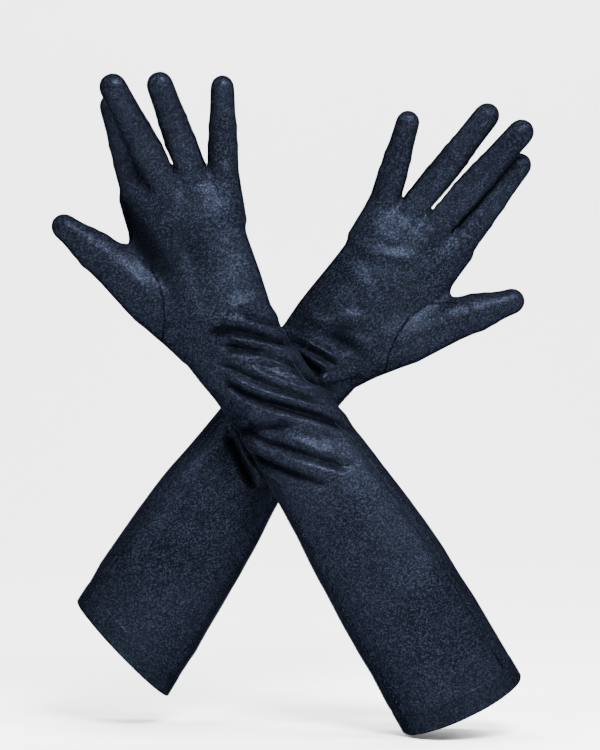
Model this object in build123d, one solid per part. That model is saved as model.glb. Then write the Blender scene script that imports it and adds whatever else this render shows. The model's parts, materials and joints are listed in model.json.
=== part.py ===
import os
from math import copysign, cos, degrees, radians, sin, sqrt, tan

from build123d import *

# A pair of elbow-length stretch gloves, worn shape, arms crossed in an X with the palms towards -Y.
# Each glove is laid out flat-on first: "out" runs along the arm from the opening to the fingertips,
# "side" runs towards the thumb, and "back" runs towards the back of the hand (+Y).
# Lengths are in millimetres and angles in degrees.
FABRIC = 0.8           # thickness of the stretch fabric
HEM_FABRIC = 1.6       # the hem is folded double
HEM_HEIGHT = 14.0
HEM_SEAM = 0.05        # space between the hem band and the sleeve panels above it
HEM_REACH = 0.2        # the hem's slope fades out over this share of the sleeve
SEAM_GAP = 0.12        # space between two sewn edges
THREAD = 0.5           # how far the seam thread stands out
THREAD_WIDTH = 1.3
THREAD_LIFT = 0.35     # the thread lies this far off the fabric
BODY_GAP = 0.4         # clearance between pieces that move against each other
PINHOLE = 0.15         # inner radius left where the fingertip closes

GLOVE_SPACING = 51.0   # front-to-back distance between the two arms
WRIST_OPEN = 15.0      # each side of the wrist joint is cut back by this angle
KNUCKLE_OPEN = 12.0    # each finger's base is cut back by this angle
OUTER_SEAM = 215.0     # where the little-finger side seam lies around the arm
INNER_SEAM = 0.0       # where the thumb side seam lies around the arm
FORK_HALF = 26.0       # half the angle a side strip covers at the base of a finger

# Sleeve sections: share of the sleeve length, sideways drift, half width, half depth.
SLEEVE = [
    (0.0, -1.5, 39.6, 34.5),
    (0.14, -4.2, 40.2, 34.2),
    (0.30, -4.6, 39.4, 32.8),
    (0.45, -4.8, 36.9, 30.0),
    (0.60, -4.5, 33.4, 27.0),
    (0.75, -3.5, 30.7, 23.6),
    (0.89, -1.8, 29.7, 21.4),
    (1.0, 0.5, 32.3, 20.4),
    (1.06, 1.6, 34.0, 19.8),
]
# Palm sections above the wrist: distance out, sideways middle, half width, half depth, fullness.
PALM = [
    (-16.0, -0.9, 30.4, 21.0, 2.0),
    (0.0, 0.5, 32.3, 20.4, 2.0),
    (22.0, 5.2, 36.0, 18.0, 2.15),
    (46.0, 7.4, 36.4, 16.2, 2.35),
    (70.0, 7.8, 35.8, 15.0, 2.6),
    (92.0, 4.8, 34.9, 13.2, 2.8),
    (100.0, 4.2, 34.4, 12.8, 2.8),
]
# The mound at the base of the thumb: distance out, side, back, half width, half depth.
MOUND = [
    (-2.0, 12.0, 0.0, 15.0, 13.0),
    (14.0, 25.0, -1.0, 16.6, 14.4),
    (36.0, 40.0, -2.5, 16.6, 14.0),
    (54.0, 52.3, -3.2, 14.2, 12.4),
    (66.0, 61.2, -3.6, 13.0, 11.6),
]
KNUCKLE_OUT = 92.0     # how far the knuckle axis is from the wrist
KNUCKLE_BACK = -10.2   # how far the knuckle axis is behind the middle of the palm
THUMB_OUT = 63.0
THUMB_SIDE = 58.5
THUMB_BACK = -3.5
THUMB_LEAN = 37.0
GUSSET_SIDE = 36.5     # the thumb gusset is sewn along this line, leaning with the mound
GUSSET_LEAN = 7.0

FINGERS = ["index", "middle", "ring", "little"]
# Side place of the base, half width at the base, half width near the tip, length, and set-back of the base.
FINGER_SIZE = {
    "index": (30.9, 8.6, 7.7, 82.0, 2.4),
    "middle": (11.9, 8.6, 8.2, 101.0, 0.0),
    "ring": (-5.5, 8.2, 8.0, 95.0, 0.6),
    "little": (-22.2, 8.0, 7.2, 73.0, 0.6),
}
FINGER_FLATNESS = 0.93  # depth of a finger as a share of its width
BASE_DEPTH = 1.1        # the base of a finger is deeper than it is wide by this share
FINGER_STEPS = 24       # a finger is laid out in this many short steps
# The steps at which a section is drawn, and how much fuller the flesh makes it there.
FINGER_STOPS = {3: 0.2, 7: 0.4, 11: 0.5, 15: 0.4, 18: 0.25, 21: 0.1, 23: 0.05, 24: 0.0}
TIP_SHARES = (0.3, 0.55, 0.75, 0.9, 0.985)  # where a fingertip's sections lie along it
HINGE_CLEAR = 0.3       # a digit's hinge line lies this far in front of its base
TIP_ROUNDNESS = 1.15    # length of a fingertip as a share of its half width
FORK_END = 2.0          # half the angle a side strip still covers where it ends

THUMB_HALF_WIDTHS = [12.9, 12.8, 12.5, 12.0, 11.4, 10.7, 10.1]
THUMB_FLATNESS = 0.87
THUMB_LENGTH = 47.0
THUMB_TIP = 11.0

WEDGE_REACH = 60.0      # the blocks that cut the wrist reach this far to the front and back
WEDGE_WIDTH = 90.0      # and this far to each side
BLOCK = 260.0           # a cutting block that is larger than a glove is wide
THUMB_BLOCK = 60.0      # a cutting block for the thumb's end of the mound

GLOVES = {
    "left": {
        "mirror": -1,
        "lean": -30.6,
        "start": (0.0, 0.0, 0.0),
        "sleeve_length": 270.0,
        "wrist_side": 6.0,
        "wrist_turn": -15.8,
        "hem_turn": 5.0,
        "hem_sag": 8.0,
        "hem_flare": 0.0,
        # sideways lean, bend at the knuckle, further curl along the finger
        "pose": {
            "index": (0.5, 9.0, 27.0),
            "middle": (12.5, 34.0, 6.0),
            "ring": (4.5, 27.0, 22.0),
            "little": (-15.0, 6.0, 16.0),
        },
        "thumb_curl": 10.0,
    },
    "right": {
        "mirror": 1,
        "lean": 33.0,
        "start": (-208.5, GLOVE_SPACING, 28.2),
        "sleeve_length": 234.0,
        "wrist_side": 1.6,
        "wrist_turn": 2.0,
        "hem_turn": -13.0,
        "hem_sag": 0.0,
        "hem_flare": 3.0,
        "pose": {
            "index": (2.5, 2.0, 8.0),
            "middle": (7.0, 13.0, 6.0),
            "ring": (3.0, 9.0, 6.0),
            "little": (-19.0, 16.0, 14.0),
        },
        "thumb_curl": 6.0,
    },
}


class Ring:
    """One cross-section: its middle, the directions of its width and depth, and its size."""

    def __init__(self, middle, width_way, depth_way, half_width, half_depth, fullness=2.0):
        self.middle = middle
        self.width_way = width_way
        self.depth_way = depth_way
        self.half_width = half_width
        self.half_depth = half_depth
        self.fullness = fullness
        self.inner = None
        self.fork = FORK_HALF

    def point(self, angle, inset=0.0):
        """The point of the outline at an angle from the thumb side, moved inwards by inset."""
        wide = self.half_width - inset
        deep = self.half_depth - inset
        if inset > 0 and self.inner:
            wide, deep = self.inner
        c = cos(radians(angle))
        s = sin(radians(angle))
        power = 2 / self.fullness
        across = wide * copysign(abs(c) ** power, c)
        back = deep * copysign(abs(s) ** power, s)
        return self.middle + self.width_way * across + self.depth_way * back

    def shifted(self, move):
        return Ring(self.middle + move, self.width_way, self.depth_way, self.half_width, self.half_depth)

    def arc(self, start, end, inset):
        """Part of the outline, from one angle to another."""
        if self.fullness == 2.0:
            wide = self.half_width - inset
            deep = self.half_depth - inset
            if inset > 0 and self.inner:
                wide, deep = self.inner
            plane = Plane(self.middle, x_dir=self.width_way, z_dir=self.width_way.cross(self.depth_way))
            return Edge.make_ellipse(wide, deep, plane, start, end)
        steps = max(4, round((end - start) / 15))
        points = [self.point(start + (end - start) * i / steps, inset) for i in range(steps + 1)]
        return Edge.make_spline(points)

    def outline(self, inset=0.0):
        """The whole outline, in two halves that meet at the thumb side and the little-finger side."""
        return Wire([self.arc(0, 180, inset), self.arc(180, 360, inset)])

    def strip(self, start, end, outer, inner):
        """A closed outline between two angles and two insets: the section of one fabric panel."""
        outside = self.arc(start, end, outer)
        inside = self.arc(start, end, inner)
        first = Edge.make_line(inside @ 0, outside @ 0)
        last = Edge.make_line(outside @ 1, inside @ 1)
        return Wire([outside, last, inside, first])


class Glove:
    """One glove's own directions, and where its parts go in the pair's frame."""

    def __init__(self, name):
        self.name = name
        for key, value in GLOVES[name].items():
            setattr(self, key, value)

    def turn(self, side, back, out):
        """A direction in the arm's layout, turned into the pair's frame."""
        a = radians(self.lean)
        x = self.mirror * side
        return Vector(x * cos(a) + out * sin(a), back, out * cos(a) - x * sin(a))

    def arm(self, side, back, out):
        return Vector(*self.start) + self.turn(side, back, out)

    def hand_turn(self, side, back, out):
        """A direction in the hand's layout, which is turned sideways at the wrist."""
        a = radians(self.wrist_turn)
        return self.turn(side * cos(a) + out * sin(a), back, out * cos(a) - side * sin(a))

    def hand(self, side, back, out):
        wrist = self.arm(self.wrist_side, 0, self.sleeve_length)
        return wrist + self.hand_turn(side, back, out)

    def save(self, solid, part):
        solid.label = f"{self.name}_{part}"
        export_step(solid, f"parts/{solid.label}.step")


def tube(rings, inset=0.0):
    """The solid inside a row of cross-sections."""
    return Solid.make_loft([ring.outline(inset) for ring in rings])


def panel(rings, start, end, outer=0.0, inner=FABRIC):
    """A fabric panel between two angles; start and end give the angles for each ring."""
    wires = []
    for ring in rings:
        gap = degrees(SEAM_GAP / 2 / max(ring.half_width, 2.0))
        wires.append(ring.strip(start(ring) + gap, end(ring) - gap, outer, inner))
    return Solid.make_loft(wires)


def prism(points, length_way, half_length):
    """A block with the given outline, running half_length to both sides along length_way."""
    near = Wire.make_polygon([p - length_way * half_length for p in points])
    far = Wire.make_polygon([p + length_way * half_length for p in points])
    return Solid.make_loft([near, far], ruled=True)


# ---------------------------------------------------------------- sleeve


def sleeve_ring(glove, share, drift, half_width, half_depth):
    out = share * glove.sleeve_length
    near_hem = max(0.0, 1 - share / HEM_REACH)
    side = drift + glove.wrist_side * share**2
    turn = radians(glove.hem_turn * near_hem)
    sag = radians(glove.hem_sag * near_hem)
    width_way = glove.turn(cos(turn), 0, sin(turn))
    depth_way = glove.turn(0, cos(sag), sin(sag))
    half_width += glove.hem_flare * near_hem
    return Ring(glove.arm(side, 0, out), width_way, depth_way, half_width, half_depth)


def sleeve_rings(glove):
    return [sleeve_ring(glove, *row) for row in SLEEVE]


def hem_rings(glove, rings):
    """The hem's lower and upper sections: it is a straight band along the opening."""
    low, high = rings[0], rings[1]
    share = HEM_HEIGHT / glove.sleeve_length / SLEEVE[1][0]
    top = Ring(
        low.middle + (high.middle - low.middle) * share,
        low.width_way,
        low.depth_way,
        low.half_width + (high.half_width - low.half_width) * share,
        low.half_depth + (high.half_depth - low.half_depth) * share,
    )
    return [low, top]


def wrist_wedge(glove, keep):
    """The block cut away at the wrist; keep is -1 for the sleeve's side and +1 for the hand's."""
    half = radians(glove.wrist_turn / 2)
    out = glove.turn(sin(half), 0, cos(half))
    side = glove.turn(cos(half), 0, -sin(half))
    back = Vector(0, 1, 0)
    middle = glove.hand(0, 0, 0)
    reach = WEDGE_REACH
    rise = reach * tan(radians(WRIST_OPEN))
    points = [
        middle + back * -reach + out * keep * (BODY_GAP / 2 + rise),
        middle + out * keep * BODY_GAP / 2,
        middle + back * reach + out * keep * (BODY_GAP / 2 + rise),
        middle + back * reach - out * keep * reach,
        middle - back * reach - out * keep * reach,
    ]
    return prism(points, side, WEDGE_WIDTH)


def build_sleeve(glove):
    rings = sleeve_rings(glove)
    band = hem_rings(glove, rings)
    body = [band[1].shifted(glove.turn(0, 0, HEM_SEAM))] + rings[1:]
    wedge = wrist_wedge(glove, -1)
    palm_side = panel(body, lambda r: OUTER_SEAM, lambda r: 360 + INNER_SEAM)
    back_side = panel(body, lambda r: INNER_SEAM, lambda r: OUTER_SEAM)
    glove.save((palm_side - wedge).solid(), "sleeve_palm_panel")
    glove.save((back_side - wedge).solid(), "sleeve_back_panel")
    hem = tube(band) - tube(band, HEM_FABRIC)
    glove.save(hem.solid(), "cuff_hem")
    for part, angle in [("outer_seam_thread", OUTER_SEAM), ("inner_seam_thread", INNER_SEAM)]:
        half = degrees(THREAD_WIDTH / 2 / body[0].half_width)
        thread = panel(
            body,
            lambda r, a=angle, h=half: a - h,
            lambda r, a=angle, h=half: a + h,
            outer=-THREAD - THREAD_LIFT,
            inner=-THREAD_LIFT,
        )
        glove.save((thread - wedge).solid(), part)


# ---------------------------------------------------------------- hand


def palm_rings(glove):
    rings = []
    width_way = glove.hand_turn(1, 0, 0)
    depth_way = glove.hand_turn(0, 1, 0)
    for out, side, half_width, half_depth, fullness in PALM:
        middle = glove.hand(side, 0, out)
        rings.append(Ring(middle, width_way, depth_way, half_width, half_depth, fullness))
    return rings


def mound_rings(glove):
    rings = []
    lean = radians(THUMB_LEAN)
    width_way = glove.hand_turn(cos(lean), 0, -sin(lean))
    depth_way = glove.hand_turn(0, 1, 0)
    for out, side, back, half_width, half_depth in MOUND:
        rings.append(Ring(glove.hand(side, back, out), width_way, depth_way, half_width, half_depth))
    return rings


def half_space(middle, normal, size=BLOCK):
    """A large block on the side of a plane that normal points to."""
    plane = Plane(origin=middle, z_dir=normal)
    return plane.location * Solid.make_box(2 * size, 2 * size, size).moved(Location((-size, -size, 0)))


def build_hand(glove):
    palm = palm_rings(glove)
    mound = mound_rings(glove)
    top = half_space(glove.hand(0, 0, KNUCKLE_OUT - BODY_GAP), glove.hand_turn(0, 0, 1))
    lean = radians(THUMB_LEAN)
    thumb_way = glove.hand_turn(sin(lean), 0, cos(lean))
    thumb_base = glove.hand(THUMB_SIDE, THUMB_BACK, THUMB_OUT)
    beyond_thumb = half_space(thumb_base - thumb_way * BODY_GAP, thumb_way, THUMB_BLOCK)
    outer_mound = tube(mound) - beyond_thumb
    outer = (tube(palm) + outer_mound).solid()
    inner = (tube(palm, FABRIC) + tube(mound, FABRIC)).solid()
    shell = outer - inner - top - wrist_wedge(glove, 1)
    slope = radians(GUSSET_LEAN)
    side_way = glove.hand_turn(cos(slope), 0, -sin(slope))
    sewn = glove.hand(GUSSET_SIDE, 0, 0)
    half_gap = side_way * (SEAM_GAP / 2)
    gusset = (shell & half_space(sewn + half_gap, side_way)).solids()
    gusset = sorted(gusset, key=lambda s: s.volume)[-1]
    rest = shell - half_space(sewn - half_gap, side_way)
    glove.save(gusset, "thumb_gusset")
    for part, sign in [("hand_palm_panel", -1), ("hand_back_panel", 1)]:
        normal = Vector(0, sign, 0)
        middle = glove.hand(0, sign * SEAM_GAP / 2, 0)
        half = (rest & half_space(middle, normal)).solids()
        glove.save(sorted(half, key=lambda s: s.volume)[-1], part)


# ---------------------------------------------------------------- fingers and thumb


def tip_rings(last, way, tip_length):
    """Sections that round a tube off, after the last full section, along way."""
    rings = []
    for share in TIP_SHARES:
        outer = sqrt(1 - share**2)
        ring = Ring(
            last.middle + way * (tip_length * share),
            last.width_way,
            last.depth_way,
            last.half_width * outer,
            last.half_depth * outer,
        )
        inner_share = min(1.0, share * tip_length / (tip_length - FABRIC))
        shrink = sqrt(1 - inner_share**2)
        inner_width = max(PINHOLE, (last.half_width - FABRIC) * shrink)
        inner_depth = max(PINHOLE, (last.half_depth - FABRIC) * shrink)
        ring.inner = (inner_width, inner_depth)
        ring.fork = 0.0
        rings.append(ring)
    return rings


def smooth(t):
    t = min(1.0, max(0.0, t))
    return t * t * (3 - 2 * t)


def finger_rings(glove, finger):
    side, base_half, tip_half, length, set_back = FINGER_SIZE[finger]
    lean, bend, curl = glove.pose[finger]
    lean = radians(lean)
    opening = radians(KNUCKLE_OPEN)
    base_depth = base_half * BASE_DEPTH
    rise = HINGE_CLEAR + base_depth + set_back
    place = [side, KNUCKLE_BACK + rise * cos(opening), KNUCKLE_OUT + rise * sin(opening)]
    depth_way = glove.hand_turn(0, cos(opening), sin(opening))
    base = Ring(glove.hand(*place), glove.hand_turn(1, 0, 0), depth_way, base_half, base_depth)
    rings = [base]
    tip_length = tip_half * TIP_ROUNDNESS
    reach = length - tip_length - rise * sin(opening)
    for i in range(1, FINGER_STEPS + 1):
        share = i / FINGER_STEPS
        flex = radians(bend + curl * smooth((share - 0.25) / 0.5))
        way = (sin(lean) * cos(flex), -sin(flex), cos(lean) * cos(flex))
        place = [p + w * reach / FINGER_STEPS for p, w in zip(place, way)]
        if i not in FINGER_STOPS:
            continue
        half = base_half + (tip_half - base_half) * share + FINGER_STOPS[i]
        ring = Ring(
            glove.hand(*place),
            glove.hand_turn(cos(lean), 0, -sin(lean)),
            glove.hand_turn(sin(lean) * sin(flex), cos(flex), cos(lean) * sin(flex)),
            half,
            half * (FINGER_FLATNESS + 0.1 * (1 - share)),
        )
        ring.fork = FORK_HALF * (1 - share) + FORK_END
        rings.append(ring)
    return rings + tip_rings(rings[-1], glove.hand_turn(*way), tip_length)


def build_finger(glove, finger):
    rings = finger_rings(glove, finger)
    straight = [r for r in rings if r.fork > 0]
    thumb_side = finger != "index"
    little_side = finger != "little"

    def thumb_edge(ring):
        return ring.fork if thumb_side else 0.0

    def little_edge(ring):
        return ring.fork if little_side else 0.0

    front = panel(rings, lambda r: 180 + little_edge(r), lambda r: 360 - thumb_edge(r))
    back = panel(rings, thumb_edge, lambda r: 180 - little_edge(r))
    glove.save(front, f"{finger}_front")
    glove.save(back, f"{finger}_back")
    if thumb_side:
        strip = panel(straight, lambda r: -r.fork, lambda r: r.fork)
        glove.save(strip, f"{finger}_thumb_side_fourchette")
    if little_side:
        strip = panel(straight, lambda r: 180 - r.fork, lambda r: 180 + r.fork)
        glove.save(strip, f"{finger}_little_side_fourchette")


def thumb_rings(glove):
    lean = radians(THUMB_LEAN)
    opening = radians(KNUCKLE_OPEN)
    along = (sin(lean), 0, cos(lean))
    width_way = glove.hand_turn(cos(lean), 0, -sin(lean))
    depth = THUMB_HALF_WIDTHS[0] * THUMB_FLATNESS
    rise = depth + HINGE_CLEAR
    step = rise * sin(opening)
    place = [
        THUMB_SIDE + along[0] * step,
        THUMB_BACK - rise + rise * cos(opening),
        THUMB_OUT + along[2] * step,
    ]
    depth_way = glove.hand_turn(along[0] * sin(opening), cos(opening), along[2] * sin(opening))
    rings = [Ring(glove.hand(*place), width_way, depth_way, THUMB_HALF_WIDTHS[0], depth)]
    parts = len(THUMB_HALF_WIDTHS) - 1
    reach = (THUMB_LENGTH - THUMB_TIP - step) / parts
    for i, half in enumerate(THUMB_HALF_WIDTHS[1:], start=1):
        flex = radians(glove.thumb_curl * (0.5 + 0.5 * i / parts))
        way = (along[0] * cos(flex), -sin(flex), along[2] * cos(flex))
        place = [p + w * reach for p, w in zip(place, way)]
        depth_way = glove.hand_turn(along[0] * sin(flex), cos(flex), along[2] * sin(flex))
        rings.append(Ring(glove.hand(*place), width_way, depth_way, half, half * THUMB_FLATNESS))
    return rings + tip_rings(rings[-1], glove.hand_turn(*way), THUMB_TIP)


def build_thumb(glove):
    rings = thumb_rings(glove)
    glove.save(panel(rings, lambda r: 180, lambda r: 360), "thumb_front")
    glove.save(panel(rings, lambda r: 0, lambda r: 180), "thumb_back")


def build_glove(name):
    glove = Glove(name)
    build_sleeve(glove)
    build_hand(glove)
    for finger in FINGERS:
        build_finger(glove, finger)
    build_thumb(glove)


os.makedirs("parts", exist_ok=True)
for glove_name in GLOVES:
    build_glove(glove_name)
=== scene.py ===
import json

import bpy
import numpy as np
import openvdb
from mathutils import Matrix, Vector


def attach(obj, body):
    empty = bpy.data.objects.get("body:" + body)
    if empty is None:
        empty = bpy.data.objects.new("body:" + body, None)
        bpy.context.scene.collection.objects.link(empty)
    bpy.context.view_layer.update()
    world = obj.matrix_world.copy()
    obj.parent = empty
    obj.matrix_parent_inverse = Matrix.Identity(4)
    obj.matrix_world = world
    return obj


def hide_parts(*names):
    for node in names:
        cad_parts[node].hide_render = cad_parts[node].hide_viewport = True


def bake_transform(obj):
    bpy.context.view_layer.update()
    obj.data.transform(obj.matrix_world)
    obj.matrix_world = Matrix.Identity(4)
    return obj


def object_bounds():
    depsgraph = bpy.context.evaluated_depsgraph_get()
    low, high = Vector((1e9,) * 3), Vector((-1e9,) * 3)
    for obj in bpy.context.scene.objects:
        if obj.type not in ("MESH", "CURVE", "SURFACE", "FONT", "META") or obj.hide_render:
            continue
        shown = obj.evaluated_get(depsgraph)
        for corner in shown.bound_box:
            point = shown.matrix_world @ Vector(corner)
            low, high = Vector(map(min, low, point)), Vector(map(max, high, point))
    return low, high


# A pair of long stretch-satin gloves. The outer skin of each glove is worked out from the CAD nodes: their
# cross-sections give tubes, the tubes are joined smoothly, and the skin is cut along the sewing lines into
# the pattern pieces. Lengths are in metres unless a name says otherwise.

VOXEL = 0.0012            # grid step of the skin
BAND = 0.005              # how far from the tubes the grid is worked out
FAR = 0.05                # stands for "far outside" on the grid
WEB_BLEND = 0.0035        # how softly the finger bases run together
WEB_HEIGHT = 0.0125       # where the webs begin to open, above the knuckle axis
WEB_RISE = 0.006          # and the height over which they open
PALM_BLEND = 0.009        # how softly the fingers run into the palm
MOUND_BLEND = 0.009       # how softly the thumb mound runs into the palm
WEB_CREASE = 0.0002       # above the webs the finger bases meet this sharply
PALM_CREASE = 0.0003      # and the fingers and the palm this sharply
FINGER_GAP = 0.0016       # the least space between two fingers above the webs
NO_GAP = 0.02             # below them fingers may overlap by this much
NEAR_BOTH = 0.03          # the palm and the fingers are blended where both are nearer than this
MARGIN_LOW, MARGIN_HIGH = 0.008, 0.012    # space on the grid around the tubes
RELAX_STEPS = (0.5, -0.52)    # one step in and one step out, so that the skin doesn't shrink
PLUMP = 0.0008            # the cloth fingers are this much fuller than the rigid ones
HEM_HEIGHT = 0.014
HEM_OVERLAP = 0.0015      # the sleeve panels run this far under the hem
FINGER_CUT = 0.012        # fingers are sewn on this far above the knuckle axis
THUMB_CUT = 0.0015        # the thumb is sewn on this far beyond its joint
FORK_ANGLE = 26.0         # half the angle a side strip covers at the base of a finger
OUTER_SEAM = 215.0        # where the little-finger side seam lies around the sleeve
STRETCH = 1.08            # area of the worn cloth over the area of the flat cut
ROOT_FULLNESS = 1.10      # the cloth fingers are wider than the rigid ones at the root
TIP_FULLNESS = 0.93       # and narrower at the tip
TIP_LENGTH = 1.1          # a digit's rounded end is this many half widths long
ROUND = 2.0               # how square a section is: 2 is an ellipse, more has fuller corners
FINGER_CORNERS = 2.15
PALM_CORNERS = 2.6
FINGERS = ("index", "middle", "ring", "little")
SEED = {"left": 11, "right": 23}
# How far the cloth of a fingertip lies inside the rigid one, in metres.
TIP_SLACK = {
    "left": {"index": 0.0060, "middle": 0.0050, "ring": 0.0065, "little": 0.0070},
    "right": {"index": 0.0, "middle": 0.0, "ring": 0.0, "little": 0.0045},
}

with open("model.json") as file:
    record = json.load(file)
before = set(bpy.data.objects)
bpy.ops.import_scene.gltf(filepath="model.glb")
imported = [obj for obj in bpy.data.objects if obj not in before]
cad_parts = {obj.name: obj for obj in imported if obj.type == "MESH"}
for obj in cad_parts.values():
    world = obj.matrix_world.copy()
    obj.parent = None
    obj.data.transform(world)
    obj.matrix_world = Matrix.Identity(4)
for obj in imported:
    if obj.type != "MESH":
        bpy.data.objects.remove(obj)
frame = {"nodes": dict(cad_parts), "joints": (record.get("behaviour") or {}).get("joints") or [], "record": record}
cad_box = [list(map(float, corner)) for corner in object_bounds()]
record = frame["record"]
joints = {j["name"]: j for j in frame["joints"]}
mounts = {m["name"]: m for m in record["mounts"]}


def unit(v):
    v = np.asarray(v, float)
    return v / np.linalg.norm(v)


def smooth(t):
    t = np.clip(t, 0, 1)
    return t * t * (3 - 2 * t)


def bump(x, width):
    """A rounded hill of height 1 at x = 0."""
    return np.exp(-((x / width) ** 2))


def square_up(way, wide):
    """Unit directions along a tube, across it and towards the back of the hand, square to each other."""
    way = way / np.linalg.norm(way, axis=-1, keepdims=True)
    wide = wide - way * np.sum(wide * way, axis=-1, keepdims=True)
    wide = wide / np.linalg.norm(wide, axis=-1, keepdims=True)
    deep = np.cross(way, wide)
    return way, wide, deep * np.sign(deep[..., 1:2])


# ---- reading the frame


def mesh_points(mesh):
    """The vertices of a mesh, one row each."""
    points = np.empty(len(mesh.vertices) * 3)
    mesh.vertices.foreach_get("co", points)
    return points.reshape(-1, 3)


def node_edges(names, to_local):
    """All edges of some CAD nodes as two arrays of end points, in a glove's own axes."""
    starts, ends = [], []
    for name in names:
        mesh = frame["nodes"][name].data
        co = to_local(mesh_points(mesh))
        pairs = np.empty(len(mesh.edges) * 2, dtype=int)
        mesh.edges.foreach_get("vertices", pairs)
        pairs = pairs.reshape(-1, 2)
        starts.append(co[pairs[:, 0]])
        ends.append(co[pairs[:, 1]])
    return np.concatenate(starts), np.concatenate(ends)


def cut(edges, point, normal):
    """Where a plane cuts the edges."""
    starts, ends = edges
    a = (starts - point) @ normal
    b = (ends - point) @ normal
    hit = (a < 0) != (b < 0)
    t = a[hit] / (a[hit] - b[hit])
    return starts[hit] + (ends[hit] - starts[hit]) * t[:, None]


class Tube:
    """A bent tube: sections with a middle, a direction, a width direction, half width and half depth."""

    def __init__(self):
        self.middle, self.way, self.wide, self.size, self.full = [], [], [], [], []

    def add(self, middle, way, wide, half_width, half_depth, full=ROUND):
        self.middle.append(np.asarray(middle, float))
        self.way.append(unit(way))
        self.wide.append(unit(wide))
        self.size.append((half_width, half_depth))
        self.full.append(full)

    def finish(self):
        self.middle = np.array(self.middle)
        self.way = np.array(self.way)
        self.wide = np.array(self.wide)
        self.size = np.array(self.size)
        self.full = np.array(self.full)
        steps = np.linalg.norm(np.diff(self.middle, axis=0), axis=1)
        self.along = np.concatenate([[0], np.cumsum(steps)])
        return self

    def measure(self, points, cap=False):
        """For each point: signed distance to the tube's skin, place along it, and angle round it."""
        points = np.asarray(points, float)
        best = np.full(len(points), FAR)
        place = np.zeros(len(points))
        angle = np.zeros(len(points))
        last = len(self.middle) - 2
        heights = points @ self.way.T - np.sum(self.middle * self.way, axis=1)
        for i in range(last + 1):
            pick = np.ones(len(points), bool)
            if i > 0:
                pick &= heights[:, i] >= 0
            if i < last:
                pick &= heights[:, i + 1] <= 0
            pick = np.nonzero(pick)[0]
            if len(pick) == 0:
                continue
            near = points[pick]
            # the section plane turns between the two sections' planes
            below = heights[pick, i]
            above = -heights[pick, i + 1]
            t = np.clip(below / np.maximum(below + above, 1e-9), 0, 1)
            mid = self.middle[i] + (self.middle[i + 1] - self.middle[i]) * t[:, None]
            way = self.way[i] + (self.way[i + 1] - self.way[i]) * t[:, None]
            wide = self.wide[i] + (self.wide[i + 1] - self.wide[i]) * t[:, None]
            way, wide, deep = square_up(way, wide)
            off = near - mid
            x = np.sum(off * wide, axis=1)
            y = np.sum(off * deep, axis=1)
            z = np.sum(off * way, axis=1)
            size = self.size[i] + (self.size[i + 1] - self.size[i]) * t[:, None]
            full = self.full[i] + (self.full[i + 1] - self.full[i]) * t
            k = (np.abs(x / size[:, 0]) ** full + np.abs(y / size[:, 1]) ** full) ** (1 / full)
            r = np.hypot(x, y)
            d = np.where(k < 1e-4, -size[:, 1], r - r / np.maximum(k, 1e-6))
            beyond = (t >= 1) & (z > 1e-7)
            if cap:
                tip = size[:, 0] * TIP_LENGTH
                round_k = np.sqrt(k**2 + (z / tip) ** 2)
                round_r = np.sqrt(r**2 + z**2)
                d = np.where(beyond, round_r - round_r / np.maximum(round_k, 1e-6), d)
            else:
                d = np.where(beyond, np.hypot(np.maximum(d, 0), z), d)
            before = (t <= 0) & (z < -1e-5)
            d = np.where(before, np.hypot(np.maximum(d, 0), z), d)
            take = d < best[pick]
            where = pick[take]
            best[where] = d[take]
            step = self.along[i + 1] - self.along[i]
            place[where] = (self.along[i] + step * t + z * beyond)[take]
            angle[where] = (np.degrees(np.arctan2(y / size[:, 1], x / size[:, 0])) % 360)[take]
        return best, place, angle

    def at(self, place, angle, lift=0.0):
        """Points on the tube's skin at places along it and angles round it, and the directions out of it."""

        def between(values):
            return np.stack([np.interp(place, self.along, column) for column in values.T], -1)

        spot = between(self.middle)
        _, wide, deep = square_up(between(self.way), between(self.wide))
        a, b = between(self.size).T
        c = np.cos(np.radians(angle))
        s = np.sin(np.radians(angle))
        out = wide * (c / a)[..., None] + deep * (s / b)[..., None]
        out /= np.linalg.norm(out, axis=-1)[..., None]
        return spot + wide * (a * c)[..., None] + deep * (b * s)[..., None] + out * lift, out


SLEEVE_SECTIONS = np.linspace(0.105, 0.945, 15)    # as shares of the sleeve's length
HAND_SECTIONS = np.linspace(0.13, 0.85, 8)         # as shares of the height of the knuckles above the wrist
BELOW_OPENING = 0.02      # the sleeve's tube starts this far below its opening
FLARE_BELOW = 0.3         # the share of the sleeve's flare that it has there
# Towards the fingers the palm gets flatter: height as a share of the knuckles', and width and depth as shares
# of the last section.
KNUCKLE_TAPER = ((0.97, 0.99, 0.86), (1.06, 0.96, 0.64), (1.12, 0.93, 0.40))
# A finger's root grows out of the palm little by little: how far below the finger's first section, and width
# and depth as shares of that section.
FINGER_ROOT = ((0.030, 0.60, 0.40), (0.020, 0.74, 0.66), (0.010, 0.90, 0.96))
ROOT_SECTIONS = 5         # a finger is deeper over this many sections from its root,
ROOT_DEPTH = 0.0010       # by this much at the root itself
FINGER_STEP, THUMB_STEP = 0.005, 0.004    # how far apart a digit's sections are
FINGER_BACK, THUMB_BACK = 0.009, 0.011    # how far a digit's middle lies behind its joint
BASE_ABOVE = 0.006        # its first section is this far above the joint
MOST_SECTIONS = 60
LEAST_HITS = 6            # a plane that cuts fewer edges than this is past the tip
TIP_NARROWING = 0.78      # a digit's sections stop where it has narrowed to this share
# The mound of the thumb: its two ends in the hand's directions, and its half widths and half depths.
MOUND_HEEL, MOUND_TOP = (0.017, 0.0, 0.004), (0.0395, -0.002, 0.034)
MOUND_SIZES = ((0.0155, 0.0135), (0.0168, 0.0145), (0.0165, 0.0140))
THUMB_SLIMMING = 0.20     # the cloth thumb is slimmer than the rigid one by this share at the tip


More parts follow.
